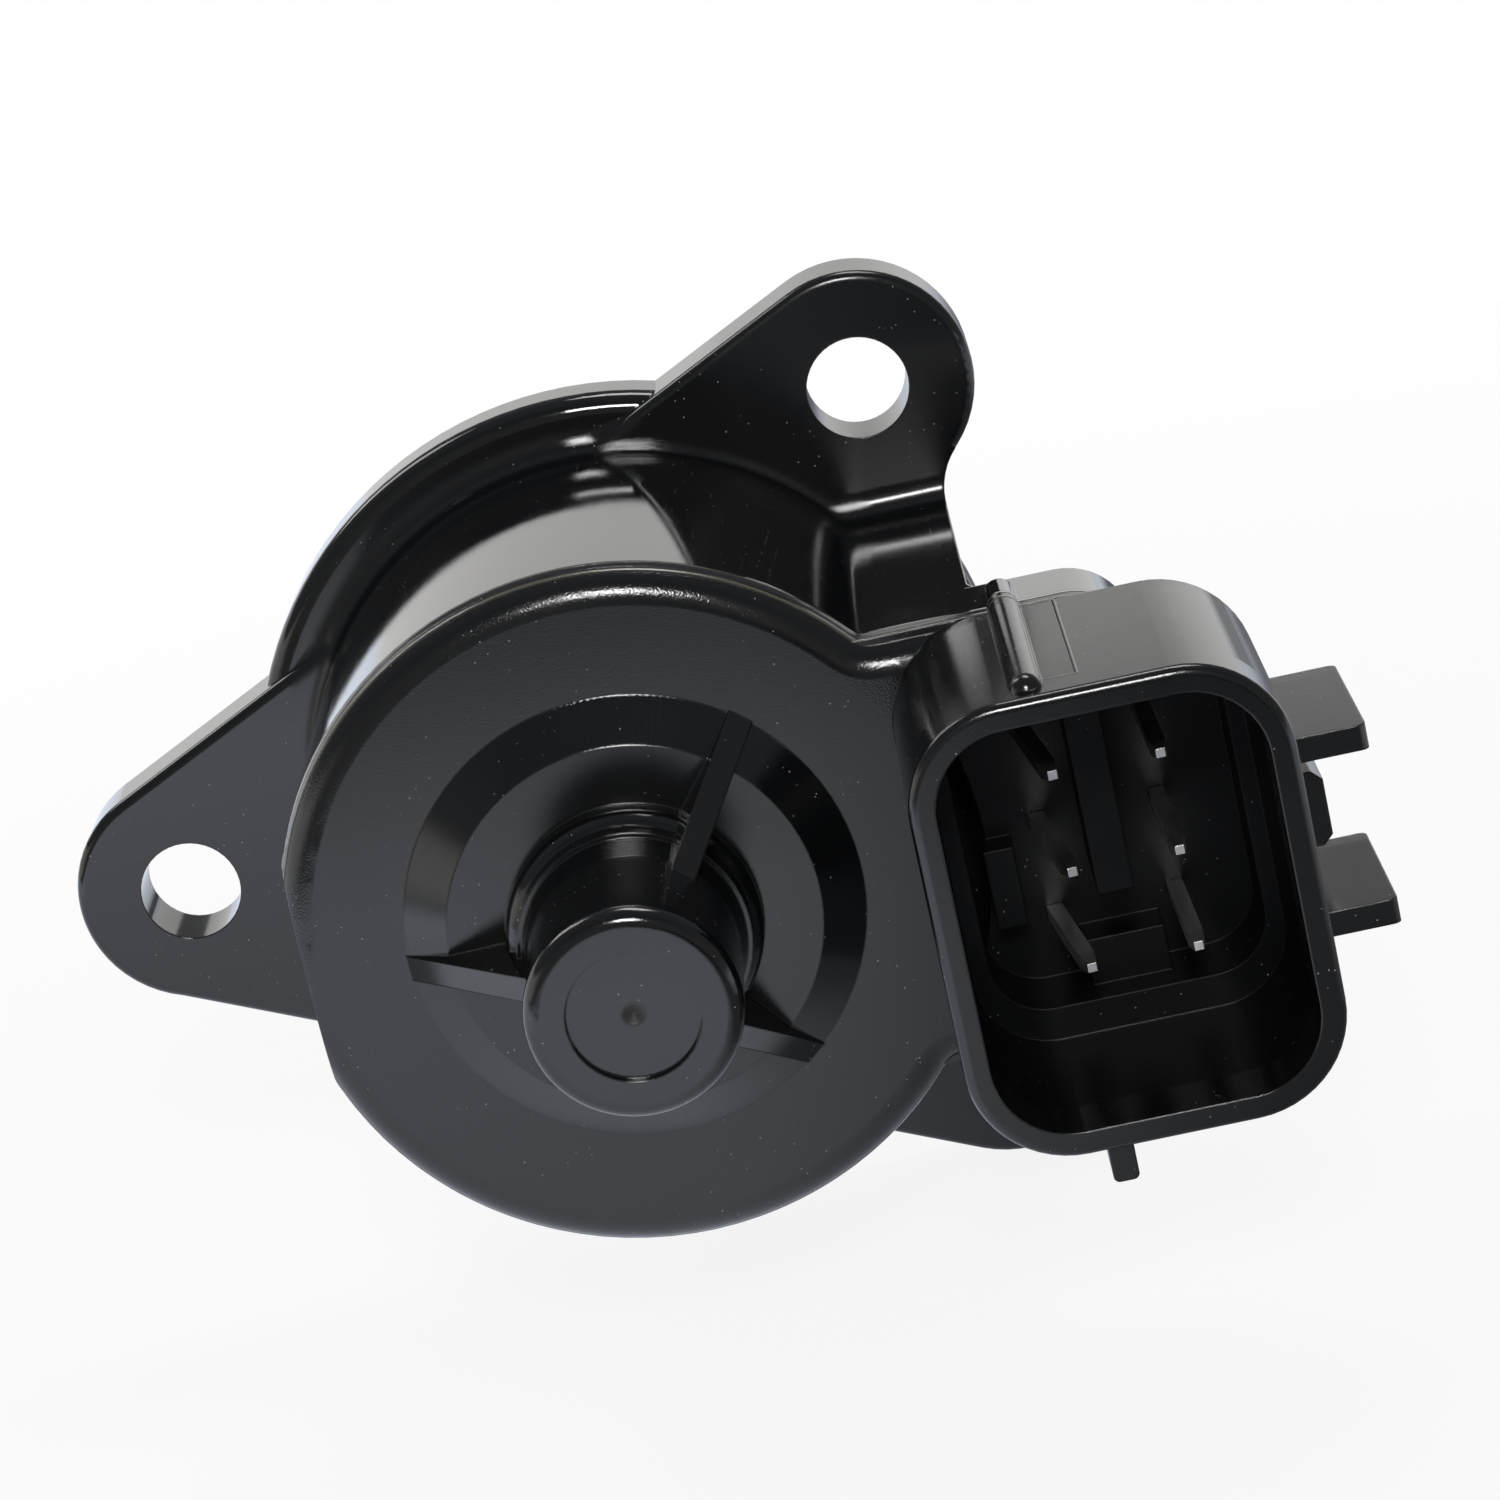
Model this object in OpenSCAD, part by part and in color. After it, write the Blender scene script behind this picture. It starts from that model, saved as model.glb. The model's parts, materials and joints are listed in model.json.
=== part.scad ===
// Idle air control valve: a moulded stepper motor housing with a six-way connector, a three-ear flange,
// and a lead screw that slides a sprung pintle. Millimetres. The valve axis is Y: the mating face of the
// flange lies at y = 0, the nose points to -Y and the pintle to +Y. Z is up, and the connector is at +X.

/* [Barrel] */
// Radius of the round body
barrel_r = 17.7; // [17.3:0.1:19]
// Length of the barrel from its rear face to the ears
barrel_len = 25.7; // [25:0.1:29]
// Radius of the rounded rear edge
barrel_edge = 1.75; // [1:0.05:2]
// Distance of the flat side from the axis
flat_x = 16.65; // [16.2:0.05:17.2]
// Radius of the motor cavity
cavity_r = 14.6; // [14:0.05:15.2]
// Thickness of the wall behind the motor
rear_wall = 2.7; // [2.3:0.1:3.6]

/* [Flange] */
// Thickness of the ears
ear_t = 4; // [3.4:0.1:5]
// Radius of each ear's round end
ear_r = 6.3; // [5.5:0.1:7]
// Radius of the bolt holes
bolt_r = 2.75; // [2.2:0.05:3.2]
// Rounding of the ears' rear edge
ear_edge = 0.5; // [0.2:0.05:1]
// Distance of the upper ear's hole from the axis
ear_1_reach = 24.3; // [23.5:0.1:27]
// Direction of the upper ear, in degrees from +X towards +Z
ear_1_angle = 48.4; // [44:0.1:52]
// Distance of the left ear's hole from the axis
ear_2_reach = 25.7; // [24.5:0.1:28]
// Direction of the left ear
ear_2_angle = 183.6; // [178:0.1:188]
// Distance of the lower ear's hole from the axis
ear_3_reach = 26.4; // [25.5:0.1:28]
// Direction of the lower ear
ear_3_angle = 309; // [306:0.1:313]
// Radius of the round disc between the ears
disc_r = 20.8; // [20.2:0.1:22]
// How far the disc's rear side stands back from the ears
disc_set = 0.5; // [0.2:0.05:1]
// Radius of the fillet between barrel and flange
root_fillet = 1.2; // [0.6:0.05:1.6]

/* [Nose] */
// Radius of the raised cone at its foot
cone_r = 11.45; // [10.8:0.05:12.5]
// Radius of the cone's flat top
cone_top_r = 9.3; // [8.5:0.05:10]
// Height of the cone
cone_h = 1.5; // [0.8:0.05:2.2]
// Radius of the nose
nose_r = 5.2; // [4.8:0.05:5.5]
// Length of the nose beyond the barrel's rear face
nose_len = 14.5; // [14:0.1:18]
// Radius of the collar at the nose's foot
collar_r = 6.35; // [6.1:0.05:7.2]
// Height of the collar above the cone
collar_h = 1.9; // [1.4:0.05:2.6]
// Thickness of the three webs
web_t = 1.3; // [0.8:0.05:2]
// Height of the webs at the nose
web_h = 7.5; // [5:0.1:9]
// Directions of the three webs
web_angles = [51, 181, 309];
// Rounding of the nose's tip
tip_edge = 0.8; // [0.4:0.05:1.2]
// Radius of the round recess in the tip
tip_recess_r = 3.2; // [2.4:0.05:3.8]
// Depth of the recess in the tip
tip_recess_h = 0.35; // [0.15:0.05:0.6]
// Radius of the moulding gate's dimple in the middle of the recess
gate_r = 0.5; // [0.3:0.05:0.8]
// Depth of the dimple
gate_h = 0.3; // [0.1:0.05:0.4]

/* [Connector arm] */
// Distance of the arm's end from the axis
arm_x = 19.5; // [18.9:0.05:21]
// Half the height of the arm
arm_z = 11.1; // [10.6:0.05:11.8]
// Fillet between arm and barrel
arm_fillet = 1.5; // [0.8:0.05:2.2]
// Fillet between the ears and the arm's end
ear_fillet = 4; // [3:0.1:4.5]
// Thickness of the block behind the connector
block_t = 5.5; // [5.2:0.1:8]
// Width of the block beyond the arm's end
block_w = 7.8; // [7.6:0.1:9]

/* [Connector] */
// Distance of the connector's centre from the valve axis
shroud_x = 23.45; // [23:0.05:25]
// Width of the connector's shroud
shroud_w = 18.1; // [17.5:0.1:18.6]
// Height of the connector's shroud
shroud_h = 22.5; // [21.8:0.1:24]
// Length of the shroud in front of the barrel's rear face
shroud_len = 15; // [14:0.1:18]
// How deep the shroud's foot lies behind the rear face
shroud_foot = 0.8; // [0.4:0.1:1.5]
// Radius of the shroud's corners
shroud_corner = 5; // [4.6:0.1:5.6]
// Wall of the shroud
shroud_wall = 1.25; // [1:0.05:1.5]
// Rounding of the rim
rim_edge = 0.45; // [0.2:0.05:0.5]
// Depth of the socket down to its ledge
ledge_depth = 12.5; // [11:0.1:13]
// Width of the ledge inside the wall
ledge_w = 0.9; // [0.5:0.05:1.2]
// Height of the ledge above and below
ledge_h = 1.7; // [1.2:0.05:2]
// Depth of the socket down to its floor
socket_depth = 17; // [15.5:0.1:17.5]
// Width of the rib between the pin columns
divider_w = 1.8; // [1:0.1:2.4]
// Thickness of the wall behind the socket floor
floor_t = 1.4; // [1:0.1:2]
// Width of the key ridge on the shroud
ridge_w = 1.6; // [1:0.1:1.8]
// Distance of the key ridge and key tab from the shroud's inner side
ridge_set = 6.5; // [5.5:0.1:7.5]
// Reach of the guide tabs beyond the shroud
tab_reach = 3.7; // [2.5:0.1:4.5]
// Thickness of the guide tabs
tab_t = 1.25; // [0.9:0.05:1.6]
// Distance of each guide tab from the connector's middle
tab_z = 4.4; // [3.9:0.1:5.5]
// Length of the guide tabs
tab_len = 10.4; // [8:0.1:12]
// Thickness of the key tab under the shroud
key_t = 1.25; // [1:0.05:2]
// Reach of the key tab below the shroud
key_reach = 2; // [1.2:0.1:3]
// Reach of the latch nub
latch_reach = 1.6; // [1:0.1:2]
// Length of the latch nub
latch_len = 3.2; // [2.4:0.1:4]
// Width of the latch nub
latch_w = 3.8; // [3:0.1:4.4]

/* [Terminals] */
// Width of each square pin
pin_w = 0.8; // [0.6:0.05:1]
// Width of the pin's tapered tip
pin_tip_w = 0.45; // [0.3:0.05:0.6]
// Distance between the two columns of pins
pin_pitch_x = 6.1; // [5.4:0.1:6.4]
// Distance between the pins of a column
pin_pitch_z = 4.95; // [4.4:0.05:5.4]
// Length of the pins above the socket floor
pin_len = 9.2; // [7:0.1:11]
// Lean of the inner column, in degrees
pin_lean_inner = 6.5; // [0:0.5:7]
// Lean of the outer column, in degrees
pin_lean_outer = 1; // [0:0.5:3]

/* [Motor] */
// Sheet thickness of the pole cups and plates
sheet_t = 0.9; // [0.6:0.05:1.1]
// Inner radius of the claw poles
claw_r = 8.4; // [8.35:0.05:8.8]
// Gap between a claw's tip and the plate that it points to
claw_gap = 2.5; // [1.7:0.1:4]
// Number of claws on each cup or plate
claw_count = 8; // [6:1:8]
// Wall of the bobbins
bobbin_wall = 0.7; // [0.5:0.05:0.9]
// Radius of the ring magnet
magnet_r = 8.1; // [7.7:0.05:8.2]
// Distance of the magnet's front end from the front of the coils
magnet_set = 2.8; // [2.5:0.1:4.8]
// Radius of the hub inside the magnet
hub_r = 5.6; // [5.4:0.05:6]

/* [Bearings] */
// Bore radius of the ball bearing
bearing_bore_r = 5; // [4.8:0.05:5.1]
// Outer radius of the ball bearing
bearing_r = 9.5; // [9.4:0.05:9.8]
// Width of the ball bearing
bearing_w = 5; // [4.6:0.1:5.2]
// Radius of the balls
ball_r = 1.4; // [1.2:0.05:1.5]
// Number of balls
ball_count = 9; // [7:1:10]
// Radius of the hub's rear journal
rear_journal_r = 3.4; // [3.2:0.05:3.6]
// Outer radius of the rear bush
bush_r = 4.4; // [4.2:0.05:4.5]
// Length of the rear bush
bush_len = 3.4; // [2.6:0.1:4]

/* [Plunger] */
// Outer radius of the lead screw's thread
screw_r = 2.5; // [2.2:0.05:2.6]
// Lead of the screw for one turn
lead = 1.6; // [1:0.1:2]
// Travel of the pintle
travel = 8; // [6:0.1:8.2]
// Radius of the guided shaft
shaft_r = 3; // [2.8:0.05:3.1]
// Distance across the shaft's two flats
shaft_flats = 4.8; // [4.4:0.05:5.2]
// Radius of the pintle's flange
pintle_r = 6.6; // [6.4:0.1:7.5]
// Length of the pintle's cone
pintle_cone = 8; // [6:0.1:10]
// Wire radius of the spring
wire_r = 0.4; // [0.3:0.05:0.45]
// Mean radius of the spring
spring_r = 5.5; // [5.4:0.05:5.9]
// Turns of the spring
spring_turns = 5; // [4:0.5:5.5]
// Length of the spring at rest
spring_len = 13; // [13:0.1:16]

/* [Cover] */
// Radius of the pilot spigot
pilot_r = 11; // [11:0.1:12.5]
// Length of the pilot spigot
pilot_len = 6.5; // [6:0.1:8]
// Radius of the cover's flange
cover_r = 15.95; // [15.6:0.05:16.1]
// Thickness of the cover's flange
cover_t = 2; // [1.6:0.1:2.3]
// Mean radius of the flange seal
seal_r = 17.9; // [17.7:0.05:18.2]
// Section radius of the flange seal
seal_wire_r = 0.95; // [0.8:0.05:1]

/* [Fits] */
// Radial gap of running fits
running_gap = 0.05; // [0.02:0.01:0.1]
// Gap between parts that are seated in one another
seat_gap = 0.02; // [0.01:0.01:0.04]

/* [Hidden] */
$fn = 96;
small_fn = 32;
over = 1;

// Planes across the valve axis
ear_y = -ear_t;
rear_y = ear_y - barrel_len;
rim_y = rear_y - shroud_len;
foot_y = rear_y + shroud_foot;
block_y = foot_y + block_t;
cone_y = rear_y - cone_h;
tip_y = rear_y - nose_len;
ledge_y = rim_y + ledge_depth;
floor_y = rim_y + socket_depth;

// Motor stack: the cover presses it against the cavity's rear wall
cover_lip = 1;
stack_front_y = -cover_t - cover_lip;
stack_rear_y = rear_y + rear_wall;
unit_len = (stack_front_y - stack_rear_y) / 2;
stack_mid_y = stack_front_y - unit_len;
cup_r = cavity_r - 2 * seat_gap;
bobbin_in_r = claw_r + sheet_t + seat_gap;
bobbin_out_r = cup_r - sheet_t - seat_gap;
bobbin_len = unit_len - 2 * sheet_t - 2 * seat_gap;
winding_gap = 0.3;
claw_len = unit_len - sheet_t - claw_gap;
claw_foot = 9;
claw_tip = 5;

// Rotor
rotor_end_gap = 0.4;
bush_flange_t = 0.7;
bush_flange_w = 1.4;
bush_flange_r = bush_r + bush_flange_w;
journal_gap = 0.3;
hub_step = 0.2;
hub_rear_y = stack_rear_y - bush_len + journal_gap;
journal_y = stack_rear_y + bush_flange_t + seat_gap + running_gap;
magnet_y = journal_y + rotor_end_gap;
magnet_len = stack_front_y - magnet_set - magnet_y;
bearing_set = 0.4;
bearing_y = stack_front_y + bearing_set;
nut_set = 1.4;
nut_len = 8;
nut_end_y = magnet_y + nut_set + nut_len;
shaft_gap = 0.15;
screw_bore_r = screw_r + running_gap;
shaft_bore_r = shaft_r + shaft_gap;

// Preload washer, and the pocket that it closes
washer_t = 0.25;
washer_gap = 0.15;
washer_lip = 0.8;
washer_room = 0.6;
pocket_end_y = bearing_y + bearing_w + washer_room;

// Bearing lands and the ball path
ball_path_r = (bearing_bore_r + bearing_r) / 2;
race_gap = 0.01;
groove_gap = 0.05;
groove_r = ball_r + groove_gap;
land_gap = 0.95;
cage_half = 0.4;
cage_lip = 0.35;
cage_w = 2 * (ball_r + cage_lip);

// Nose: the gap round the screw's tail, the wall at the tip, and the taper of the neck
tail_gap = 0.4;
tip_wall = 1.5;
neck_taper = 0.3;
web_foot = 0.1;

// Groove of the flange seal, which lies in it as it does when the valve is bolted down
seal_groove = 2 * (seal_wire_r + seat_gap);

// Plunger in the middle of its travel
tail_end_gap = 0.5;
stop_gap = 0.3;
thread_rear_y = tip_y + tip_wall + tail_end_gap + travel / 2;
shaft_rear_y = nut_end_y + travel / 2 + stop_gap;
screw_chamfer = 0.5;
pintle_y = pilot_len + spring_len;
pintle_flange_t = 1.2;
pintle_edge = 0.3;
pintle_step = 0.5;
pintle_pin_r = 2;
pintle_tip_r = 3.2;
pintle_tip_edge = 1;
cone_low_y = pintle_y + 2 * pintle_flange_t;
spring_end_gap = 0.05;

// Guide bush in the cover
guide_wall = 1.3;
bush_seat_r = shaft_r + guide_wall;
pilot_chamfer = 0.6;

// Ears as points in the plane of the flange
function polar(reach, angle) = [reach * cos(angle), reach * sin(angle)];
ear_1 = polar(ear_1_reach, ear_1_angle);
ear_2 = polar(ear_2_reach, ear_2_angle);
ear_3 = polar(ear_3_reach, ear_3_angle);

// By how much the lower ear plate is narrower than the upper one
ear_ease = 0.03;

// Direction from one point of the plane to another
function bearing_of(from, to) = atan2(to[1] - from[1], to[0] - from[0]);

// Pins: the length of their taper, how far the straight foot rises from the socket floor, how far
// the legs lie behind it, and how deep they reach into the barrel's wall
pin_taper = 1.2;
pin_rise = 0.1;
pin_leg_set = 0.7;
pin_end_gap = 0.3;

// Inside of the socket: start of the divider below the middle, and the stop and the pad beside the pins
divider_z = -3;
stop_set = 2;
stop_w = 4;
stop_z = 2.4;
pad_set = 2.5;
pad_gap = 0.9;
pad_w = 1.5;
pad_end = 0.3;
pad_h = 4.15;

// Outside of the connector: corner of the block, and the ends of the ridge, the key tab and the latch nub
block_corner = 3.5;
ridge_sink = 0.15;
ridge_end = 2;
key_end = 1;
latch_set = 3;
latch_corner = 0.5;

// Turns a profile drawn in (radius, y) round the valve axis
module turned() {
    rotate([-90, 0, 0])
        rotate_extrude()
            children();
}

// Extrudes an outline drawn in (x, z) between two planes across the valve axis
module slab(y_low, y_high) {
    translate([0, y_high, 0])
        rotate([90, 0, 0])
            linear_extrude(height = y_high - y_low)
                children();
}

// Profile of a round plate whose rear corner is rounded
module plate_profile(r, t, edge) {
    translate([0, edge])
        square([r, t - edge]);
    square([r - edge, t]);
    translate([r - edge, edge])
        circle(edge);
}

// Straight bar along X, with both rear edges rounded
module edge_bar(length, half, t, edge) {
    rotate([90, 0, 90])
        linear_extrude(height = length) {
            translate([edge, -half])
                square([t - edge, 2 * half]);
            translate([0, edge - half])
                square([t, 2 * (half - edge)]);
            for (side = [-1, 1])
                translate([edge, side * (half - edge)])
                    circle(edge);
        }
}

// Plate with two round ends, its rear edge rounded all the way
module link_plate(from, to, r, y_low, t, edge) {
    length = norm(to - from);
    translate([from[0], y_low, from[1]])
        rotate([0, -bearing_of(from, to), 0]) {
            turned()
                plate_profile(r, t, edge);
            translate([length, 0, 0])
                turned()
                    plate_profile(r, t, edge);
            edge_bar(length, r, t, edge);
        }
}

// Pad with four round corners, its rear edge rounded all the way
module corner_pad(x, w, h, corner, y_low, t, edge) {
    for (side = [-1, 1], end = [-1, 1])
        translate([x + side * (w / 2 - corner), y_low, end * (h / 2 - corner)])
            turned()
                plate_profile(corner, t, edge);
    translate([x - w / 2 + corner, y_low, 0])
        edge_bar(w - 2 * corner, h / 2, t, edge);
    translate([x, y_low, corner - h / 2])
        rotate([0, -90, 0])
            edge_bar(h - 2 * corner, w / 2, t, edge);
}

// Rectangle with round corners, centred
module corner_rect(w, h, corner) {
    square([w - 2 * corner, h], center = true);
    square([w, h - 2 * corner], center = true);
    for (side = [-1, 1], end = [-1, 1])
        translate([side * (w / 2 - corner), end * (h / 2 - corner)])
            circle(corner);
}

// Cove that fills the corner between a wall and a plate above it
module cove(r) {
    difference() {
        square(r);
        translate([r, 0])
            circle(r);
    }
}

// Ring round the valve axis, from one plane to another
module ring(r_in, r_out, y_low, y_high) {
    turned()
        translate([r_in, y_low])
            square([r_out - r_in, y_high - y_low]);
}

// Barrel, flange disc and cone, turned in one
module barrel() {
    difference() {
        union() {
            turned()
                translate([0, rear_y])
                    plate_profile(barrel_r, barrel_len + ear_t, barrel_edge);
            turned()
                translate([barrel_r, ear_y + disc_set - root_fillet])
                    cove(root_fillet);
        }
        slab(rear_y - over, ear_y + disc_set - root_fillet)
            translate([-flat_x - 2 * over, -barrel_r])
                square([2 * over, 2 * barrel_r]);
    }
    turned()
        translate([0, ear_y + disc_set])
            plate_profile(disc_r, ear_t - disc_set, 2 * ear_edge);
    turned()
        polygon([
            [0, cone_y],
            [cone_top_r, cone_y],
            [cone_r, rear_y],
            [cone_r, rear_y + over],
            [0, rear_y + over]
        ]);
}

// Nose with its stepped foot, and the shallow recess and gate dimple in its tip
module nose() {
    step = collar_h / 2;
    neck_r = (collar_r + nose_r) / 2;
    difference() {
        turned() {
            translate([0, cone_y - collar_h])
                plate_profile(collar_r, collar_h + cone_h, collar_h / 2);
            translate([0, cone_y - collar_h - step])
                square([neck_r, step + cone_h]);
            polygon([
                [0, cone_y - collar_h - 3 * step],
                [nose_r, cone_y - collar_h - 3 * step],
                [(nose_r + neck_r) / 2, cone_y - collar_h - step - neck_taper],
                [(nose_r + neck_r) / 2, cone_y],
                [0, cone_y]
            ]);
            translate([0, tip_y])
                plate_profile(nose_r, nose_len, tip_edge);
        }
        turned()
            polygon([
                [0, tip_y - over],
                [tip_recess_r, tip_y - over],
                [tip_recess_r, tip_y + tip_recess_h],
                [gate_r, tip_y + tip_recess_h],
                [0, tip_y + tip_recess_h + gate_h]
            ]);
    }
}

// Triangular web from just outside the cone's foot up to the nose, sunk into the barrel
module web(angle) {
    foot_r = cone_r + web_foot;
    slope = (foot_r - nose_r) / web_h;
    rotate([0, -angle, 0])
        translate([0, 0, -web_t / 2])
            linear_extrude(height = web_t)
                polygon([
                    [nose_r / 2, rear_y + over],
                    [foot_r + slope * over, rear_y + over],
                    [nose_r, rear_y - web_h],
                    [nose_r / 2, rear_y - web_h]
                ]);
}

// Edge from the ear above or below down to the arm's end, with a round fillet between them
module ear_shoulder(side) {
    ear = side > 0 ? ear_1 : ear_3;
    away = arm_x + ear_fillet;
    rise = sqrt(pow(ear_r + ear_fillet - 2 * ear_ease, 2) - pow(away - ear[0], 2));
    fillet_z = ear[1] - side * rise;
    slab(ear_y, 0)
        difference() {
            polygon([ear, [away, fillet_z], [arm_x, fillet_z], [arm_x, 0], [-arm_x / 2, 0]]);
            translate([away, fillet_z])
                circle(ear_fillet);
        }
}

// Flange with its three ears: the lower plate is a hair narrower, so that the two cross at the left ear
module flange() {
    link_plate(ear_1, ear_2, ear_r, ear_y, ear_t, ear_edge);
    link_plate(ear_3, ear_2, ear_r - ear_ease, ear_y, ear_t, ear_edge);
    for (side = [-1, 1])
        ear_shoulder(side);
}

// Arm that carries the connector, filleted into the barrel above and below
module arm() {
    fillet_z = arm_z + arm_fillet;
    fillet_x = sqrt(pow(barrel_r + arm_fillet, 2) - pow(fillet_z, 2));
    lean = atan2(fillet_x, fillet_z);
    arm_sink = 1.2 * barrel_edge;
    barrel_sink = 1.8 * barrel_edge;
    translate([0, rear_y, 0])
        edge_bar(arm_x, arm_z, barrel_len, barrel_edge);
    for (side = [0, 1])
        mirror([0, 0, side])
            intersection() {
                translate([fillet_x, rear_y, fillet_z])
                    turned()
                        difference() {
                            translate([arm_fillet, 0])
                                square([2 * barrel_edge, barrel_len]);
                            difference() {
                                translate([arm_fillet - over, -over])
                                    square([barrel_edge + over, barrel_edge + over]);
                                translate([arm_fillet + barrel_edge, barrel_edge])
                                    circle(barrel_edge);
                            }
                        }
                slab(rear_y, ear_y)
                    polygon([
                        [fillet_x, fillet_z],
                        [fillet_x, fillet_z - arm_fillet - arm_sink],
                        [fillet_x - (arm_fillet + barrel_sink) * sin(lean),
                            fillet_z - (arm_fillet + barrel_sink) * cos(lean)]
                    ]);
            }
    for (side = [0, 1])
        mirror([0, 0, side])
            translate([barrel_r / 2, ear_y - root_fillet, arm_z])
                rotate([90, 0, 90])
                    linear_extrude(height = arm_x - barrel_r / 2)
                        difference() {
                            square(root_fillet);
                            translate([0, root_fillet])
                                circle(root_fillet);
                        }
}

// Block behind the connector, filleted into the arm's end, and the wall that closes the socket
module block() {
    slab(foot_y - over, floor_y + floor_t)
        translate([shroud_x, 0])
            corner_rect(shroud_w - 2 * shroud_wall, shroud_h - 2 * shroud_wall, shroud_corner - shroud_wall);
    slab(foot_y, block_y)
        intersection() {
            translate([block_w, 0])
                corner_rect(2 * arm_x, shroud_h, block_corner);
            translate([arm_x / 2, -shroud_h])
                square([2 * arm_x, 2 * shroud_h]);
        }
    translate([arm_x, block_y, -arm_z])
        linear_extrude(height = 2 * arm_z)
            difference() {
                square(arm_fillet);
                translate([arm_fillet, arm_fillet])
                    circle(arm_fillet);
            }
}

// Guide tab on the connector's outer side
module guide_tab(z) {
    edge_x = shroud_x + shroud_w / 2;
    corner = tab_t / 3;
    translate([0, 0, z - tab_t / 2])
        linear_extrude(height = tab_t)
            translate([edge_x - shroud_wall / 2, foot_y - tab_len]) {
                square([tab_reach + shroud_wall / 2 - corner, tab_len]);
                translate([0, corner])
                    square([tab_reach + shroud_wall / 2, tab_len - 2 * corner]);
                for (end = [corner, tab_len - corner])
                    translate([tab_reach + shroud_wall / 2 - corner, end])
                        circle(corner, $fn = small_fn);
            }
}

// Key tab under the shroud, its lower corners rounded
module key_tab(x) {
    corner = key_t / 4;
    slab(rim_y + key_end, foot_y)
        translate([x - key_t / 2, -shroud_h / 2 - key_reach]) {
            translate([0, corner])
                square([key_t, key_reach + shroud_wall / 2 - corner]);
            translate([corner, 0])
                square([key_t - 2 * corner, 2 * corner]);
            for (end = [corner, key_t - corner])
                translate([end, corner])
                    circle(corner, $fn = small_fn);
        }
}

// Latch nub between the guide tabs, its outer corners cut off
module latch_nub(edge_x) {
    half = latch_w / 2;
    slab(foot_y - latch_len - latch_set, foot_y - latch_set)
        polygon([
            [edge_x - shroud_wall / 2, half],
            [edge_x + latch_reach - latch_corner, half],
            [edge_x + latch_reach, half - latch_corner],
            [edge_x + latch_reach, latch_corner - half],
            [edge_x + latch_reach - latch_corner, -half],
            [edge_x - shroud_wall / 2, -half]
        ]);
}

// Key ridge on top, key tab below, guide tabs and latch nub at the outer side
module keys() {
    ridge_x = shroud_x - shroud_w / 2 + ridge_set;
    ridge_r = ridge_w / 2;
    ridge_z = shroud_h / 2 - ridge_sink;
    ridge_low_y = rim_y + ridge_end;
    ridge_high_y = block_y - ridge_end;
    translate([ridge_x, ridge_low_y, ridge_z])
        rotate([-90, 0, 0])
            cylinder(r = ridge_r, h = ridge_high_y - ridge_low_y, $fn = small_fn);
    for (end = [ridge_low_y, ridge_high_y])
        translate([ridge_x, end, ridge_z])
            sphere(r = ridge_r, $fn = small_fn);
    key_tab(ridge_x);
    for (side = [-1, 1])
        guide_tab(side * tab_z);
    latch_nub(shroud_x + shroud_w / 2);
}

// Space inside the connector, with its ledge, divider and pads left standing
module socket() {
    in_w = shroud_w - 2 * shroud_wall;
    in_h = shroud_h - 2 * shroud_wall;
    in_corner = shroud_corner - shroud_wall;
    deep_w = in_w - 2 * ledge_w;
    deep_h = in_h - 2 * ledge_h;
    slab(rim_y - over, ledge_y)
        translate([shroud_x, 0])
            corner_rect(in_w, in_h, in_corner);
    difference() {
        slab(ledge_y - over, floor_y)
            translate([shroud_x, 0])
                corner_rect(deep_w, deep_h, in_corner - ledge_w);
        slab(ledge_y, floor_y + over)
            translate([shroud_x - divider_w / 2, divider_z])
                square([divider_w, deep_h]);
        slab(ledge_y + stop_set, floor_y + over)
            translate([shroud_x - stop_w / 2, -deep_h])
                square([stop_w, deep_h / 2 + stop_z]);
        slab(ledge_y + pad_set, floor_y + over)
            translate([shroud_x - deep_w / 2 + pad_gap, pad_end - pin_pitch_z])
                square([pad_w, pad_h]);
    }
}

// Foot of a pin: it leaves the socket floor and turns in towards the coils, ending at end_x
module pin_foot(x, z, leg_y, end_x, rise) {
    half = pin_w / 2;
    translate([0, 0, z - half])
        linear_extrude(height = pin_w)
            polygon([
                [x - half, floor_y - rise],
                [x + half, floor_y - rise],
                [x + half, leg_y + half],
                [end_x, leg_y + half],
                [end_x, leg_y - half],
                [x - half, leg_y - half]
            ]);
}

// One view of the free part of a pin, extruded across
module pin_blade() {
    linear_extrude(height = 2 * pin_w, center = true)
        polygon([
            [-pin_w / 2, -pin_rise / 2],
            [-pin_w / 2, pin_taper - pin_len],
            [-pin_tip_w / 2, -pin_len],
            [pin_tip_w / 2, -pin_len],
            [pin_w / 2, pin_taper - pin_len],
            [pin_w / 2, -pin_rise / 2]
        ]);
}

// Places of the pins by number: 1 to 3 in the inner column and 4 to 6 in the outer one, from the top down
function pin_x(n) = shroud_x + (n > 3 ? pin_pitch_x : -pin_pitch_x) / 2;
function pin_z(n) = (1 - (n - 1) % 3) * pin_pitch_z;
function pin_leg_y(n) = floor_y + (n > 3 ? 3 : 1) * pin_w + pin_leg_set;
function pin_end_x(n) = sqrt(pow(cavity_r, 2) - pow(max(abs(pin_z(n)) - pin_w / 2, 0), 2)) + pin_end_gap;

// Terminal pin: a leaning blade with a tapered tip, on its foot
module terminal_pin(n) {
    color([0.85, 0.85, 0.83]) {
        translate([pin_x(n), floor_y, pin_z(n)])
            rotate([0, 0, n > 3 ? pin_lean_outer : pin_lean_inner])
                intersection() {
                    pin_blade();
                    rotate([0, 90, 0])
                        pin_blade();
                }
        pin_foot(pin_x(n), pin_z(n), pin_leg_y(n), pin_end_x(n), pin_rise);
    }
}

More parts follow.
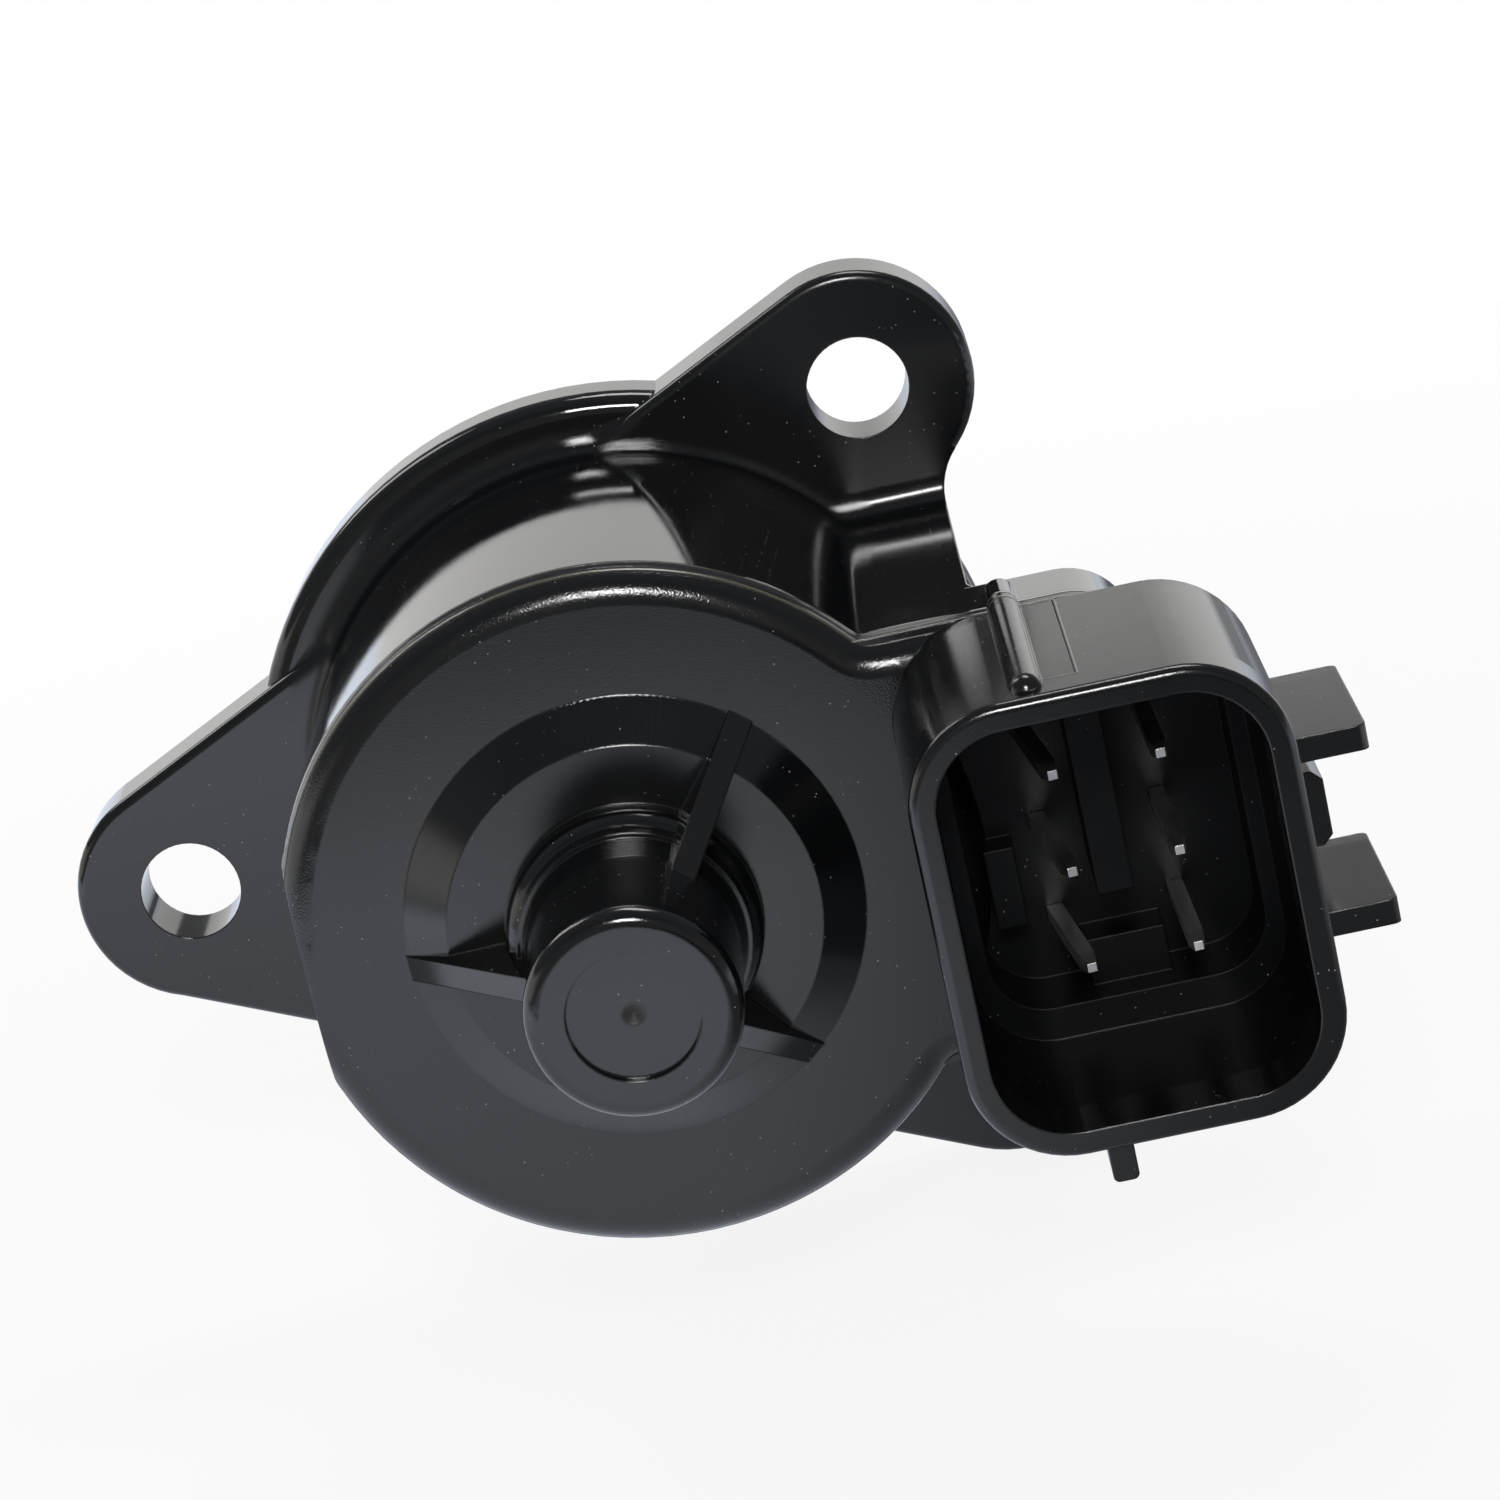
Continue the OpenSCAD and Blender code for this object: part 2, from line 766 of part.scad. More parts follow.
// Stepped bore from the mating face down into the nose
module core_bore() {
    turned()
        polygon([
            [0, over],
            [cover_r + seat_gap, over],
            [cover_r + seat_gap, -cover_t],
            [cavity_r, -cover_t],
            [cavity_r, stack_rear_y],
            [bush_r + seat_gap, stack_rear_y],
            [bush_r + seat_gap, stack_rear_y - bush_len],
            [screw_r + tail_gap, stack_rear_y - bush_len],
            [screw_r + tail_gap, tip_y + tip_wall],
            [0, tip_y + tip_wall]
        ]);
}

// Seats of all the pins in the moulding
module pin_seats() {
    for (n = [1 : 6])
        pin_foot(pin_x(n), pin_z(n), pin_leg_y(n), pin_end_x(n) - over, over);
}

// Groove in the mating face for the flange seal
module seal_ring_groove() {
    ring(seal_r - seal_wire_r - seat_gap, seal_r + seal_wire_r + seat_gap, -seal_groove, over);
}

// Round body with its flange, nose and webs, bored for the motor, the bolts, the pins and the seal
module body() {
    difference() {
        union() {
            union() {
                barrel();
                flange();
            }
            nose();
            for (angle = web_angles)
                web(angle);
        }
        core_bore();
        for (ear = [ear_1, ear_2, ear_3])
            translate([ear[0], -ear_t - over, ear[1]])
                rotate([-90, 0, 0])
                    cylinder(r = bolt_r, h = ear_t + 2 * over);
        pin_seats();
        seal_ring_groove();
    }
}

// Arm, block and shroud of the connector, with its socket and the pins' seats
module connector() {
    difference() {
        union() {
            arm();
            block();
            corner_pad(shroud_x, shroud_w, shroud_h, shroud_corner, rim_y, foot_y - rim_y, rim_edge);
            keys();
        }
        core_bore();
        socket();
        pin_seats();
        seal_ring_groove();
    }
}

// The moulded housing, one piece from the flange to the connector
module housing() {
    color([0.1, 0.1, 0.11]) {
        body();
        connector();
    }
}

// Claws along a tube, pointing from their foot at y = 0 towards +Y
module claws(turn) {
    intersection() {
        ring(claw_r, claw_r + sheet_t, 0, claw_len);
        for (n = [0 : claw_count - 1])
            rotate([0, turn + n * 360 / claw_count, 0])
                translate([0, 0, claw_r - over])
                    linear_extrude(height = sheet_t + 2 * over)
                        polygon([
                            [-claw_r * tan(claw_foot), 0],
                            [claw_r * tan(claw_foot), 0],
                            [claw_r * tan(claw_tip), claw_len],
                            [-claw_r * tan(claw_tip), claw_len]
                        ]);
    }
}

// Pole cup: an end ring, an outer wall and claws, opening towards +Y
module pole_cup() {
    color([0.62, 0.64, 0.66]) {
        ring(claw_r, cup_r, 0, sheet_t);
        ring(cup_r - sheet_t, cup_r, 0, unit_len);
        claws(0);
    }
}

// Pole plate: a ring with claws that point to +Y
module pole_plate() {
    color([0.62, 0.64, 0.66]) {
        ring(claw_r, cup_r - sheet_t - seat_gap, 0, sheet_t);
        claws(180 / claw_count);
    }
}

module rear_pole_cup() {
    translate([0, stack_rear_y, 0])
        pole_cup();
}

module rear_pole_plate() {
    translate([0, stack_mid_y, 0])
        mirror([0, 1, 0])
            pole_plate();
}

module front_pole_plate() {
    translate([0, stack_mid_y, 0])
        pole_plate();
}

module front_pole_cup() {
    translate([0, stack_front_y, 0])
        mirror([0, 1, 0])
            pole_cup();
}

// Coil former with two flanges
module bobbin(y) {
    color([0.86, 0.84, 0.76])
        turned()
            translate([bobbin_in_r, y]) {
                square([bobbin_wall, bobbin_len]);
                square([bobbin_out_r - bobbin_in_r, bobbin_wall]);
                translate([0, bobbin_len - bobbin_wall])
                    square([bobbin_out_r - bobbin_in_r, bobbin_wall]);
            }
}

module rear_bobbin() bobbin(stack_rear_y + sheet_t + seat_gap);

module front_bobbin() bobbin(stack_mid_y + sheet_t + seat_gap);

// Copper winding that fills a bobbin
module winding(y) {
    color([0.72, 0.38, 0.18])
        ring(bobbin_in_r + bobbin_wall + seat_gap, bobbin_out_r - winding_gap,
            y + bobbin_wall + seat_gap, y + bobbin_len - bobbin_wall - seat_gap);
}

module rear_winding() winding(stack_rear_y + sheet_t + seat_gap);

module front_winding() winding(stack_mid_y + sheet_t + seat_gap);

// Ring magnet on the hub
module rotor_magnet() {
    color([0.22, 0.22, 0.24])
        ring(hub_r + seat_gap, magnet_r, magnet_y, magnet_y + magnet_len);
}

// Hub: rear journal, nut in the middle, and the front journal that the ball bearing carries
module rotor_hub() {
    shoulder_y = bearing_y - seat_gap;
    front_y = bearing_y + bearing_w - hub_step;
    color([0.8, 0.78, 0.7])
        difference() {
            union() {
                ring(0, rear_journal_r, hub_rear_y, magnet_y);
                ring(0, hub_r, journal_y, shoulder_y);
                ring(0, bearing_bore_r - seat_gap, shoulder_y, front_y);
            }
            ring(0, screw_bore_r, hub_rear_y - over, front_y + over);
            ring(0, shaft_bore_r, nut_end_y, front_y + over);
        }
}

// One race of the ball bearing, with its groove
module race(r_in, r_out, groove_at) {
    color([0.75, 0.76, 0.78])
        turned()
            difference() {
                translate([r_in, bearing_y])
                    square([r_out - r_in, bearing_w]);
                translate([groove_at, bearing_y + bearing_w / 2])
                    circle(groove_r, $fn = 64);
            }
}

module bearing_inner_race() {
    race(bearing_bore_r, ball_path_r - land_gap, ball_path_r - ball_r - race_gap + groove_r);
}

module bearing_outer_race() {
    race(ball_path_r + land_gap, bearing_r, ball_path_r + ball_r + race_gap - groove_r);
}

module bearing_balls() {
    color([0.85, 0.86, 0.88])
        for (n = [0 : ball_count - 1])
            rotate([0, n * 360 / ball_count, 0])
                translate([ball_path_r, bearing_y + bearing_w / 2, 0])
                    sphere(r = ball_r, $fn = small_fn);
}

module bearing_cage() {
    mid_y = bearing_y + bearing_w / 2;
    color([0.7, 0.6, 0.35])
        difference() {
            ring(ball_path_r - cage_half, ball_path_r + cage_half, mid_y - cage_w / 2, mid_y + cage_w / 2);
            for (n = [0 : ball_count - 1])
                rotate([0, n * 360 / ball_count, 0])
                    translate([ball_path_r - over, mid_y, 0])
                        rotate([0, 90, 0])
                            cylinder(r = ball_r + running_gap, h = 2 * over, $fn = small_fn);
        }
}

// Flanged bush that carries the rear journal
module rear_bush() {
    color([0.66, 0.5, 0.26])
        difference() {
            union() {
                ring(0, bush_r, stack_rear_y - bush_len + seat_gap, stack_rear_y + bush_flange_t);
                ring(0, bush_flange_r, stack_rear_y + seat_gap, stack_rear_y + bush_flange_t);
            }
            ring(0, rear_journal_r + running_gap, stack_rear_y - bush_len, stack_rear_y + over);
        }
}

// Dished spring washer that loads the ball bearing
module preload_washer() {
    low_y = bearing_y + bearing_w + seat_gap;
    high_y = pocket_end_y - seat_gap;
    color([0.6, 0.62, 0.65])
        turned()
            polygon([
                [bearing_r - washer_gap, low_y],
                [bearing_r - washer_gap, low_y + washer_t],
                [hub_r + washer_lip, high_y],
                [hub_r + washer_lip, high_y - washer_t]
            ]);
}

// Metal cover: flange, pilot spigot, bearing pocket and seat for the guide bush
module front_cover() {
    color([0.72, 0.73, 0.74])
        difference() {
            union() {
                ring(0, cover_r, -cover_t + seat_gap, 0);
                ring(0, cavity_r - 2 * seat_gap, stack_front_y + seat_gap, 0);
                turned()
                    polygon([
                        [0, 0], [pilot_r, 0], [pilot_r, pilot_len - pilot_chamfer],
                        [pilot_r - pilot_chamfer, pilot_len], [0, pilot_len]
                    ]);
            }
            ring(0, bearing_r + seat_gap, stack_front_y - over, pocket_end_y);
            ring(0, bush_seat_r + seat_gap, 0, pilot_len + over);
        }
}

// Section of the guided shaft: a round bar with two flats, grown by a gap
module shaft_section(gap) {
    intersection() {
        circle(shaft_r + gap);
        square([shaft_flats + 2 * gap, 4 * shaft_r], center = true);
    }
}

// Guide bush in the cover: its bore keeps the shaft from turning
module guide_bush() {
    color([0.9, 0.89, 0.84])
        difference() {
            ring(0, bush_seat_r, pocket_end_y, pilot_len);
            slab(pocket_end_y - over, pilot_len + over)
                shaft_section(running_gap);
        }
}

// Round seal in the flange face
module flange_seal() {
    color([0.12, 0.12, 0.12])
        turned()
            translate([seal_r, seal_wire_r - seal_groove + seat_gap])
                circle(seal_wire_r, $fn = small_fn);
}

// Lead screw: thread, guided shaft with two flats, and the pin that carries the pintle
module lead_screw() {
    color([0.68, 0.69, 0.71]) {
        turned()
            polygon([
                [0, thread_rear_y],
                [screw_r - screw_chamfer, thread_rear_y],
                [screw_r, thread_rear_y + screw_chamfer],
                [screw_r, shaft_rear_y],
                [0, shaft_rear_y]
            ]);
        slab(shaft_rear_y, pintle_y)
            shaft_section(0);
        ring(0, pintle_pin_r, pintle_y - over, pintle_y + pintle_cone);
    }
}

// Pintle: spring flange, cone and rounded tip, pressed on the screw's pin
module pintle() {
    color([0.84, 0.83, 0.8])
        difference() {
            turned() {
                translate([0, pintle_y])
                    plate_profile(pintle_r, pintle_flange_t, pintle_edge);
                polygon([
                    [0, pintle_y + pintle_step],
                    [pintle_r - pintle_step, pintle_y + pintle_flange_t],
                    [pintle_r - pintle_step, cone_low_y],
                    [pintle_tip_r, cone_low_y + pintle_cone],
                    [pintle_tip_r - pintle_tip_edge, cone_low_y + pintle_cone + pintle_tip_edge],
                    [0, cone_low_y + pintle_cone + pintle_tip_edge]
                ]);
            }
            ring(0, pintle_pin_r + seat_gap, pintle_y - over, pintle_y + pintle_cone + seat_gap);
        }
}

// Point of the spring's centre line after a share of its turns
function coil_point(share) = [
    spring_r * cos(360 * spring_turns * share),
    pilot_len + wire_r + spring_end_gap + share * (spring_len - 2 * (wire_r + spring_end_gap)),
    spring_r * sin(360 * spring_turns * share)
];

// Ring of points round the wire at a share of its turns
function coil_ring(share, sides) = [
    for (s = [0 : sides - 1])
        let (a = 360 * s / sides, turn = 360 * spring_turns * share)
            coil_point(share) + wire_r * [cos(a) * cos(turn), sin(a), cos(a) * sin(turn)]
];

// Coil spring between the cover and the pintle
module pintle_spring() {
    sides = 8;
    rings = 20 * spring_turns;
    points = [for (n = [0 : rings]) each coil_ring(n / rings, sides)];
    walls = [
        for (n = [0 : rings - 1], s = [0 : sides - 1])
            let (next = (s + 1) % sides)
                [n * sides + s, n * sides + next, (n + 1) * sides + next, (n + 1) * sides + s]
    ];
    first = [for (s = [0 : sides - 1]) sides - 1 - s];
    last = [for (s = [0 : sides - 1]) rings * sides + s];
    color([0.7, 0.72, 0.75])
        polyhedron(points = points, faces = concat(walls, [first, last]), convexity = 8);
}

housing();
terminal_pin(1);  // terminal_pin_1
terminal_pin(2);  // terminal_pin_2
terminal_pin(3);  // terminal_pin_3
terminal_pin(4);  // terminal_pin_4
terminal_pin(5);  // terminal_pin_5
terminal_pin(6);  // terminal_pin_6
rear_pole_cup();
rear_pole_plate();
front_pole_plate();
front_pole_cup();
rear_bobbin();
front_bobbin();
rear_winding();
front_winding();
rotor_magnet();
rotor_hub();
bearing_inner_race();
bearing_outer_race();
bearing_balls();
bearing_cage();
rear_bush();
preload_washer();
front_cover();
guide_bush();
flange_seal();
lead_screw();
pintle();
pintle_spring();
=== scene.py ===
"""Idle air control valve: looks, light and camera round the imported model.

Metres, with the valve's axis along Y, its nose toward -Y, its pintle toward +Y and Z up.
"""
import json
import math

import bpy
from mathutils import Matrix, Vector


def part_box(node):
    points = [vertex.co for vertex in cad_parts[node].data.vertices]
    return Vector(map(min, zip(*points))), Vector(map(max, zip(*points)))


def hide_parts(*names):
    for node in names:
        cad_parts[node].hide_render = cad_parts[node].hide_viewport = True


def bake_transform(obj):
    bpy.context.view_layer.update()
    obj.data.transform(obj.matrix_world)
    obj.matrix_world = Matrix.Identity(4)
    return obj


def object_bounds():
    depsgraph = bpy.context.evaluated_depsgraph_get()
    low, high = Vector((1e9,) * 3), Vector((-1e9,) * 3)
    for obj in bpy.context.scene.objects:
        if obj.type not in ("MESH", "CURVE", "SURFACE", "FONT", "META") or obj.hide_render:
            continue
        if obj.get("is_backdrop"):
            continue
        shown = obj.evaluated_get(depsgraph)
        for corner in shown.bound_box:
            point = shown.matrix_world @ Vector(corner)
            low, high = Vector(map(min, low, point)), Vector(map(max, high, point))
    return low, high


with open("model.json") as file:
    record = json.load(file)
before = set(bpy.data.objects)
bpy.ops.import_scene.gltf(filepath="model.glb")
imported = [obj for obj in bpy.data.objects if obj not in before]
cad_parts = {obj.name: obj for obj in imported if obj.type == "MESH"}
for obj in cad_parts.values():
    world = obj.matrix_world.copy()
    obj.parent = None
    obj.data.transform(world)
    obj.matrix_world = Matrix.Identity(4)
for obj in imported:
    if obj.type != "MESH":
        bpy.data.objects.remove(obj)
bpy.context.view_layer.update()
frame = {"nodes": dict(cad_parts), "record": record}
scene = bpy.context.scene
scene.view_settings.view_transform = "Standard"
MM = 0.001

CAMERA_PLACE = (0.01694, -0.24337, 0.07011)
CAMERA_VIEW = (-0.04298, 0.95839, -0.28221)
CAMERA_UP = (0.20789, 0.28487, 0.93575)
CAMERA_LENS = 109.3
CAMERA_SENSOR = 36.0
CAMERA_CLIP = (0.01, 20.0)


def make_camera():
    """Camera with the photograph's place, viewing direction and roll."""
    view = Vector(CAMERA_VIEW).normalized()
    right = view.cross(Vector(CAMERA_UP)).normalized()
    over = right.cross(view)
    data = bpy.data.cameras.new("camera")
    data.lens = CAMERA_LENS
    data.sensor_width = CAMERA_SENSOR
    data.clip_start, data.clip_end = CAMERA_CLIP
    camera = bpy.data.objects.new("camera", data)
    scene.collection.objects.link(camera)
    turn = Matrix((right, over, -view)).transposed().to_4x4()
    camera.matrix_world = Matrix.Translation(Vector(CAMERA_PLACE)) @ turn
    bpy.context.scene.camera = camera


make_camera()


class Shader:
    """Short calls that add and join the nodes of one material or world."""

    def __init__(self, holder, output="ShaderNodeOutputMaterial"):
        holder.use_nodes = True
        self.holder = holder
        self.tree = holder.node_tree
        self.tree.nodes.clear()
        self.out = self.add(output)

    def add(self, kind, **settings):
        """New node with the given settings."""
        node = self.tree.nodes.new(kind)
        for key, value in settings.items():
            setattr(node, key, value)
        return node

    def join(self, source, target):
        """Link from an output to an input."""
        self.tree.links.new(source, target)

    def feed(self, target, value):
        """Gives an input a number or colour, or a link where the value is a socket."""
        if isinstance(value, bpy.types.NodeSocket):
            self.join(value, target)
        else:
            target.default_value = value

    def place(self):
        """Point on the surface."""
        return self.add("ShaderNodeTexCoord").outputs["Object"]

    def axis(self, vector, name):
        """One coordinate of a vector."""
        node = self.add("ShaderNodeSeparateXYZ")
        self.join(vector, node.inputs[0])
        return node.outputs[name]

    def stretch(self, vector, scale):
        """Vector with each coordinate scaled."""
        node = self.add("ShaderNodeMapping")
        self.join(vector, node.inputs["Vector"])
        node.inputs["Scale"].default_value = scale
        return node.outputs["Vector"]

    def length(self, vector):
        """Length of a vector."""
        node = self.add("ShaderNodeVectorMath", operation="LENGTH")
        self.join(vector, node.inputs[0])
        return node.outputs["Value"]

    def along(self, vector, direction):
        """Share of a vector along a fixed direction."""
        node = self.add("ShaderNodeVectorMath", operation="DOT_PRODUCT")
        self.join(vector, node.inputs[0])
        node.inputs[1].default_value = direction
        return node.outputs["Value"]

    def math(self, operation, a, b=0.0):
        """Result of one sum on one or two numbers."""
        node = self.add("ShaderNodeMath", operation=operation)
        self.feed(node.inputs[0], a)
        self.feed(node.inputs[1], b)
        return node.outputs[0]

    def chain(self, operation, first, *others):
        """The same sum on each number in turn."""
        for other in others:
            first = self.math(operation, first, other)
        return first

    def times(self, *numbers):
        """Product of some numbers."""
        return self.chain("MULTIPLY", *numbers)

    def largest(self, *numbers):
        """Largest of some numbers."""
        return self.chain("MAXIMUM", *numbers)

    def off(self, value, centre):
        """Distance of a number from a centre."""
        return self.math("ABSOLUTE", self.math("SUBTRACT", value, centre))

    def beyond(self, value, centre, half):
        """Distance past the end of a stretch, negative within it."""
        return self.math("SUBTRACT", self.off(value, centre), half)

    def span(self, value, low, high, to_low, to_high):
        """Maps a number from one span to another, clamped."""
        node = self.add("ShaderNodeMapRange")
        self.feed(node.inputs["Value"], value)
        node.inputs["From Min"].default_value = low
        node.inputs["From Max"].default_value = high
        node.inputs["To Min"].default_value = to_low
        node.inputs["To Max"].default_value = to_high
        return node.outputs["Result"]

    def mask(self, value, none, full):
        """Share of the way from where a number counts for nothing to where it counts in full."""
        return self.span(value, none, full, 0.0, 1.0)

    def fade(self, value, none, full):
        """Mask of a length, its two limits in millimetres."""
        return self.mask(value, none * MM, full * MM)

    def noise(self, vector, scale, detail=3.0):
        """Soft noise, its scale in features a metre."""
        node = self.add("ShaderNodeTexNoise")
        self.join(vector, node.inputs["Vector"])
        node.inputs["Scale"].default_value = scale
        node.inputs["Detail"].default_value = detail
        node.inputs["Roughness"].default_value = 0.55
        return node.outputs["Fac"]

    def specks(self, vector, scale, size):
        """Small round spots, 1 inside and 0 outside."""
        node = self.add("ShaderNodeTexVoronoi")
        self.join(vector, node.inputs["Vector"])
        node.inputs["Scale"].default_value = scale
        return self.mask(node.outputs["Distance"], size, size * 0.5)

    def mix(self, share, a, b):
        """Colour between a and b."""
        node = self.add("ShaderNodeMix", data_type="RGBA")
        self.feed(node.inputs["Factor"], share)
        self.feed(node.inputs[6], a)
        self.feed(node.inputs[7], b)
        return node.outputs[2]

    def either(self, share, a, b):
        """Number between a and b."""
        node = self.add("ShaderNodeMix", data_type="FLOAT")
        self.feed(node.inputs["Factor"], share)
        self.feed(node.inputs[2], a)
        self.feed(node.inputs[3], b)
        return node.outputs[0]

    def bump(self, height, distance, strength=1.0, normal=None):
        """Normal of a surface raised by a height times a distance."""
        node = self.add("ShaderNodeBump")
        self.join(height, node.inputs["Height"])
        node.inputs["Distance"].default_value = distance
        self.feed(node.inputs["Strength"], strength)
        if normal is not None:
            self.join(normal, node.inputs["Normal"])
        return node.outputs["Normal"]

    def soft_edge(self, radius):
        """Normal that rounds the sharp edges."""
        node = self.add("ShaderNodeBevel", samples=6)
        self.feed(node.inputs["Radius"], radius)
        return node.outputs["Normal"]

    def finish(self, color, rough, normal, **others):
        """Principled surface on the output. Gives the finished material."""
        node = self.add("ShaderNodeBsdfPrincipled")
        self.feed(node.inputs["Base Color"], color)
        self.feed(node.inputs["Roughness"], rough)
        for key, value in others.items():
            self.feed(node.inputs[key.replace("_", " ")], value)
        self.join(normal, node.inputs["Normal"])
        self.join(node.outputs["BSDF"], self.out.inputs["Surface"])
        return self.holder


def grey(value):
    """Linear grey."""
    return (value, value, value, 1.0)


def darker(color, share):
    """A share of a colour, opaque."""
    return [channel * share for channel in color[:3]] + [1.0]


# The nylon's fixed places, in millimetres along the axes
PARTING_PLANES = (-27.95, -28.74)
SOCKET_CENTRE = (23.45, -34.0, 0.0)
SOCKET_HALF = (8.2, 7.5, 10.2)
WITNESS_CENTRE = (22.5, -35.6)
WITNESS_HALF = (0.85, 6.6)
CONE_MIDDLE = 10.4

# Where each zone of the nylon is nothing and where it is full, in millimetres
SATIN_Y = (-28.0, -28.4)
SOCKET_DEPTH = (0.0, -0.3)
NOSE_RADIUS, NOSE_Y = (7.0, 6.6), (-31.5, -32.0)
GATE_RADIUS, GATE_Y = (0.7, 0.4), (-36.0, -38.0)
RIM_RADIUS, RIM_Y = (15.7, 16.4), (-30.1, -29.9)
FLANGE_ROOT_RADIUS, FLANGE_ROOT_Y = (19.6, 19.2), (-5.2, -4.9)
ARM_X, ARM_Y, ARM_Z = (7.0, 9.5), (-27.9, -27.5), (8.0, 10.0)
ARM_ROOT_Y, ARM_TOP_Y = (-8.0, -6.0), (-7.0, -8.5)
CONE_OFF, CONE_Y = (1.1, 0.9), (-29.6, -29.75)
SEAM_OFF = (0.17, 0.05)
WITNESS_OFF, WITNESS_Z = (0.09, 0.03), (11.0, 11.1)

# Drag marks on the cone: waves a radian, the angle about the axis at their middle, their reach
DRAG_WAVES = 210.0
DRAG_ANGLE = 1.5
DRAG_REACH = (0.4, 0.12)

# The nylon's noises, in features a metre
CLOUDS, GRAIN, SPARKLE = 180.0, 15000.0, 9500.0
SPECKS, SPECK_SIZE, SPECK_PATCHES = 1900.0, 0.09, 420.0

# The nylon's colours, and how much dust and the parting lines' painted highlight cover it
NYLON_DARK = (0.0022, 0.0026, 0.003, 1)
NYLON_LIGHT = (0.004, 0.0045, 0.005, 1)
NYLON_DUST, DUST_COVER = grey(0.4), 0.75
NYLON_GATE = (0.014, 0.013, 0.011, 1)
# The parting lines' olive colour is a painted highlight: the light that their raised ridge
# catches, painted into the colour.
NYLON_SEAM_HIGHLIGHT, SEAM_HIGHLIGHT_COVER = (0.14, 0.13, 0.1, 1), 0.7

# The nylon's roughness in its zones, and its gloss
POLISHED_ROUGH, SATIN_ROUGH, GRAIN_ROUGH = (0.03, 0.08), (0.1, 0.15), (0.0, 0.05)
NOSE_SHARE = 0.6
GATE_ROUGH = 0.6
SOCKET_ROUGH = 0.36
ARM_ROOT_ROUGH = 0.2
DUST_ROUGH = 0.4
NYLON_IOR = 1.58
OPEN_GLOSS, SOCKET_GLOSS = 0.5, 0.14

# The nylon's edges and relief, in millimetres, and the grain's strength on each finish
EDGE_RADIUS, ROOT_RADIUS = 0.14, 0.8
GRAIN_HEIGHT, SPARKLE_HEIGHT, SEAM_HEIGHT, DRAG_HEIGHT = 0.006, 0.011, 0.2, 0.006
POLISHED_GRAIN, SATIN_GRAIN = 0.1, 0.6
WITNESS_SHARE = 0.25
ARM_LEAN = 0.06


def nylon_zones(s, place, x, y, z):
    """Masks of the moulding's zones by name, each 1 inside and 0 outside."""
    radius = s.length(s.stretch(place, (1.0, 0.0, 1.0)))
    around = s.math("ARCTAN2", z, x)
    past = [s.beyond(value, centre * MM, half * MM)
            for value, centre, half in zip((x, y, z), SOCKET_CENTRE, SOCKET_HALF)]
    satin = s.fade(y, *SATIN_Y)
    arm = s.times(s.fade(x, *ARM_X), s.fade(z, *ARM_Z), s.fade(y, *ARM_Y))
    cone = s.times(s.fade(s.off(radius, CONE_MIDDLE * MM), *CONE_OFF), s.fade(y, *CONE_Y))
    waves = s.math("SINE", s.times(around, DRAG_WAVES))
    return {
        "satin": satin,
        "socket": s.fade(s.largest(*past), *SOCKET_DEPTH),
        "nose": s.times(s.fade(radius, *NOSE_RADIUS), s.fade(y, *NOSE_Y)),
        "gate": s.times(s.fade(radius, *GATE_RADIUS), s.fade(y, *GATE_Y)),
        "rim": s.times(s.fade(radius, *RIM_RADIUS), satin, s.fade(y, *RIM_Y)),
        "flange_root": s.times(s.fade(radius, *FLANGE_ROOT_RADIUS), s.fade(y, *FLANGE_ROOT_Y)),
        "arm_root": s.times(arm, s.fade(y, *ARM_ROOT_Y)),
        "arm_top": s.times(arm, s.fade(y, *ARM_TOP_Y)),
        "drag": s.times(waves, s.mask(s.off(around, DRAG_ANGLE), *DRAG_REACH), cone),
    }


def nylon_witness(s, x, y, z):
    """Outline that an insert of the mould left on the connector's top."""
    ends = [s.beyond(value, centre * MM, half * MM)
            for value, centre, half in zip((x, y), WITNESS_CENTRE, WITNESS_HALF)]
    line = s.fade(s.math("ABSOLUTE", s.largest(*ends)), *WITNESS_OFF)
    return s.times(line, s.fade(z, *WITNESS_Z))


